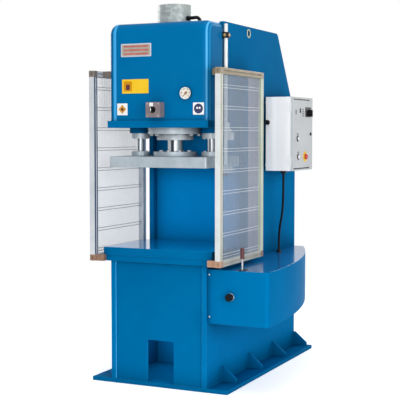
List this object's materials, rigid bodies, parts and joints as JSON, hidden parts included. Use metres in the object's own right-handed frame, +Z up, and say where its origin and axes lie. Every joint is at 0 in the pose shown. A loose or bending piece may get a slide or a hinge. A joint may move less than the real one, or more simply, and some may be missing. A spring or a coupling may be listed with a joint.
{
  "type": "hydraulic press",
  "caption": "Blue gap-frame hydraulic press with a guided platen, fixed table, clear side guards, side power unit and electrical enclosure.",
  "frame": {"origin": "middle of the floor plate's underside", "axes": "+Z up, +Y from the open front to the rear of the column, +X to the power unit's side"},
  "size_m": [1.243, 1.7033, 2.48],
  "materials": {
    "blue_paint": "semi-gloss enamel",
    "grey_cast": "mottled grey",
    "machined_steel": "ground",
    "bright_steel": "turned",
    "black_plastic": "matt",
    "taupe_paint": "satin",
    "dark_blue_paint": "semi-gloss enamel",
    "motor_grey": "painted",
    "light_grey_paint": "satin",
    "black_rubber": "matt",
    "brass_fitting": "yellow passivated",
    "aluminium_profile": "anodised",
    "clear_sheet": "clear",
    "guard_bronze": "bronze anodised",
    "seal_rubber": "matt",
    "chrome_rod": "hard chrome",
    "white_plastic": "gloss",
    "dark_red_grip": "matt",
    "red_plastic": "gloss"
  },
  "bodies": {
    "frame": {"floor_plate": "blue_paint", "base_gussets": "blue_paint", "left_side_plate": "blue_paint", "right_side_plate": "blue_paint", "pedestal_front_plate": "blue_paint", "rear_plate": "blue_paint", "column_plate": "blue_paint", "table_sub_plate": "blue_paint", "bolster_table": "blue_paint", "head_plate": "blue_paint", "head_ribs": "blue_paint", "head_cover": "blue_paint", "cylinder_barrel": "grey_cast", "cylinder_cap": "grey_cast", "gland_flange": "machined_steel", "gland_bolts": "bright_steel", "rod_gland": "machined_steel", "guide_housings": "blue_paint", "guide_flanges": "bright_steel", "gauge_case": "black_plastic", "selector_box": "taupe_paint", "oil_tank": "dark_blue_paint", "unit_cover": "blue_paint", "valve_block": "motor_grey", "pump": "grey_cast", "motor": "motor_grey", "enclosure_body": "light_grey_paint", "contactor_panel": "black_plastic", "door_hinges": "machined_steel", "cable_glands": "black_plastic", "cables": "black_rubber", "hose_fitting": "brass_fitting", "pressure_hose": "black_rubber", "limit_switch": "light_grey_paint", "guard_profiles": "aluminium_profile", "guard_panels": "clear_sheet", "guard_corners": "guard_bronze"},
    "ram": {"piston": "machined_steel", "piston_seals": "seal_rubber", "piston_rod": "chrome_rod", "rod_flange": "machined_steel", "platen": "machined_steel", "guide_rods": "chrome_rod", "guide_collars": "bright_steel", "stroke_block": "machined_steel", "stroke_rod": "white_plastic", "trip_dog": "machined_steel"},
    "clamp_knob_body": {"clamp_knob": "black_plastic"},
    "needle_body": {"gauge_needle": "black_plastic"},
    "selector_body": {"selector_knob": "white_plastic"},
    "pressure_knob_body": {"pressure_knob": "black_plastic"},
    "lever_body": {"hand_lever": "chrome_rod", "lever_grip": "dark_red_grip"},
    "rotor_body": {"motor_shaft": "machined_steel"},
    "door_body": {"enclosure_door": "light_grey_paint"},
    "start_body": {"start_button": "white_plastic"},
    "reset_body": {"reset_button": "white_plastic"},
    "stop_body": {"stop_button": "red_plastic"},
    "switch_body": {"main_switch": "black_plastic"},
    "latch_body": {"door_latch": "black_plastic"}
  },
  "joints": [
    {"name": "ram_slide", "type": "slide", "parent": "frame", "child": "ram", "axis": [0, 0, -1], "range_m": [0, 0.4]},
    {"name": "clamp_turn", "type": "hinge", "parent": "ram", "child": "clamp_knob_body", "pos_m": [0.374, -0.572, 1.38], "axis": [0, 0, 1], "range_deg": [0, 720]},
    {"name": "needle_swing", "type": "hinge", "parent": "frame", "child": "needle_body", "pos_m": [0.205, -0.815, 1.896], "axis": [0, 1, 0], "range_deg": [0, 270], "stiffness_Nm_per_rad": 0.005},
    {"name": "selector_turn", "type": "hinge", "parent": "frame", "child": "selector_body", "pos_m": [0, -0.88, 1.793], "axis": [0, 1, 0], "range_deg": [0, 90]},
    {"name": "pressure_turn", "type": "hinge", "parent": "frame", "child": "pressure_knob_body", "pos_m": [0.5, -0.785, 0.618], "axis": [0, 1, 0], "range_deg": [0, 720]},
    {"name": "lever_tilt", "type": "hinge", "parent": "frame", "child": "lever_body", "pos_m": [0.565, -0.743, 0.749], "axis": [1, 0, 0], "range_deg": [-15, 15], "stiffness_Nm_per_rad": 5},
    {"name": "rotor_spin", "type": "hinge", "parent": "frame", "child": "rotor_body", "pos_m": [0.47, -0.205, 0.666], "axis": [0, 1, 0], "continuous": true},
    {"name": "door_swing", "type": "hinge", "parent": "frame", "child": "door_body", "pos_m": [0.5474, 0.1566, 1.64], "axis": [0, 0, -1], "range_deg": [0, 115]},
    {"name": "start_press", "type": "slide", "parent": "door_body", "child": "start_body", "axis": [-1, 0, 0], "range_m": [0, 0.004], "stiffness_N_per_m": 600},
    {"name": "reset_press", "type": "slide", "parent": "door_body", "child": "reset_body", "axis": [-1, 0, 0], "range_m": [0, 0.004], "stiffness_N_per_m": 600},
    {"name": "stop_press", "type": "slide", "parent": "door_body", "child": "stop_body", "axis": [-1, 0, 0], "range_m": [0, 0.004]},
    {"name": "switch_turn", "type": "hinge", "parent": "door_body", "child": "switch_body", "pos_m": [0.5654, 0.498, 1.793], "axis": [1, 0, 0], "range_deg": [0, 90]},
    {"name": "latch_turn", "type": "hinge", "parent": "door_body", "child": "latch_body", "pos_m": [0.5654, 0.517, 1.639], "axis": [1, 0, 0], "range_deg": [0, 90]}
  ]
}
